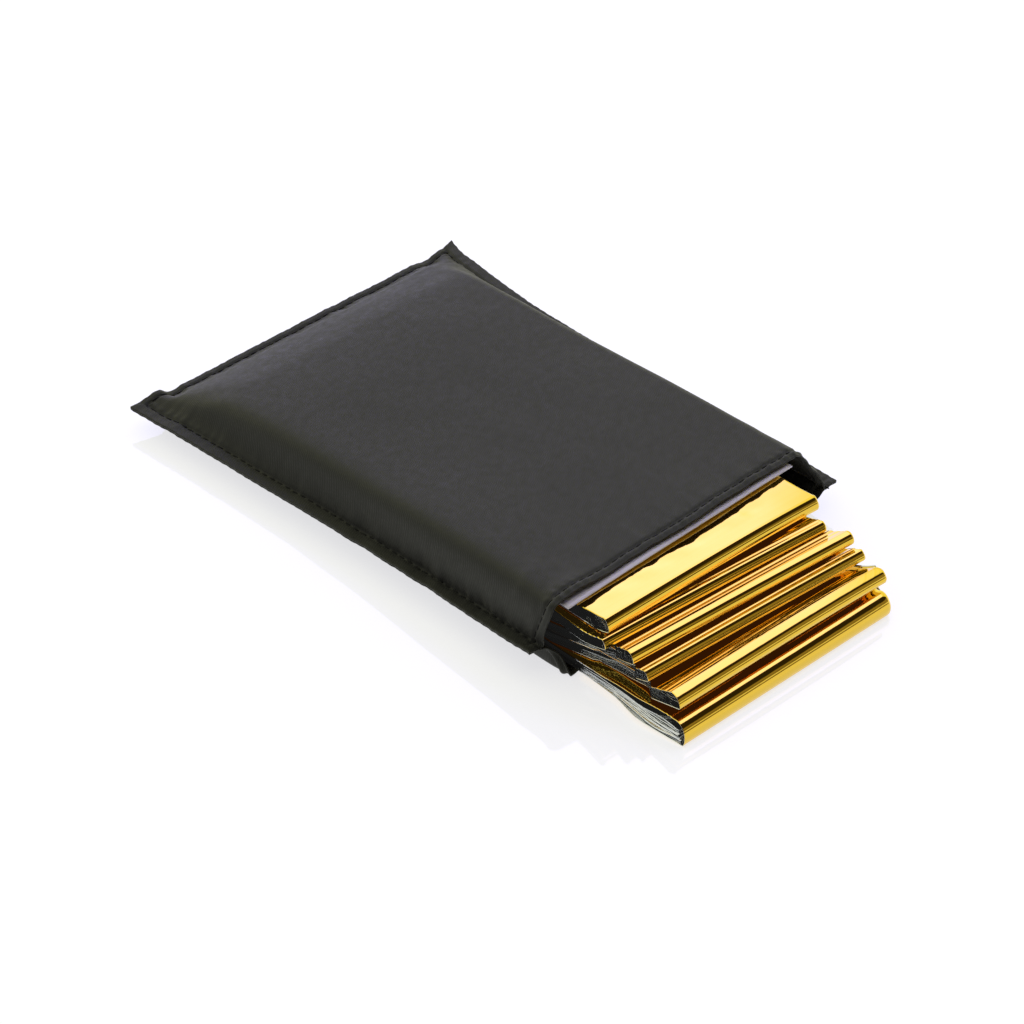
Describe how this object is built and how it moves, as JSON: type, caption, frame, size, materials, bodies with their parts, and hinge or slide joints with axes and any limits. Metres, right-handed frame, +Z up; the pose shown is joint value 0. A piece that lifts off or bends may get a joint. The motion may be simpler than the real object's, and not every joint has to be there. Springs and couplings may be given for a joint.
{
  "type": "emergency foil blanket in a sewn pouch",
  "caption": "Foil rescue blanket folded back and forth in a flat sewn cloth pouch, its front folds fanned out of the open end under a plain leaflet card.",
  "frame": {"origin": "on the floor, under the middle of the whole", "axes": "+Z up, +Y from the mouth to the pouch's closed far end, +X to the right seen from the mouth"},
  "size_m": [0.1256, 0.2114, 0.0264],
  "materials": {
    "gold_foil": "metallised polyester film, gold outside and silver inside, mirror bright and finely creased",
    "leaflet_card": "plain pale coated card",
    "pouch_cloth": "black woven polyester with a fine diagonal twill and a slight sheen"
  },
  "bodies": {
    "root": {"foil_blanket": "gold_foil", "leaflet_card": "leaflet_card", "pouch_bottom_panel": "pouch_cloth", "pouch_top_panel": "pouch_cloth"}
  },
  "joints": []
}
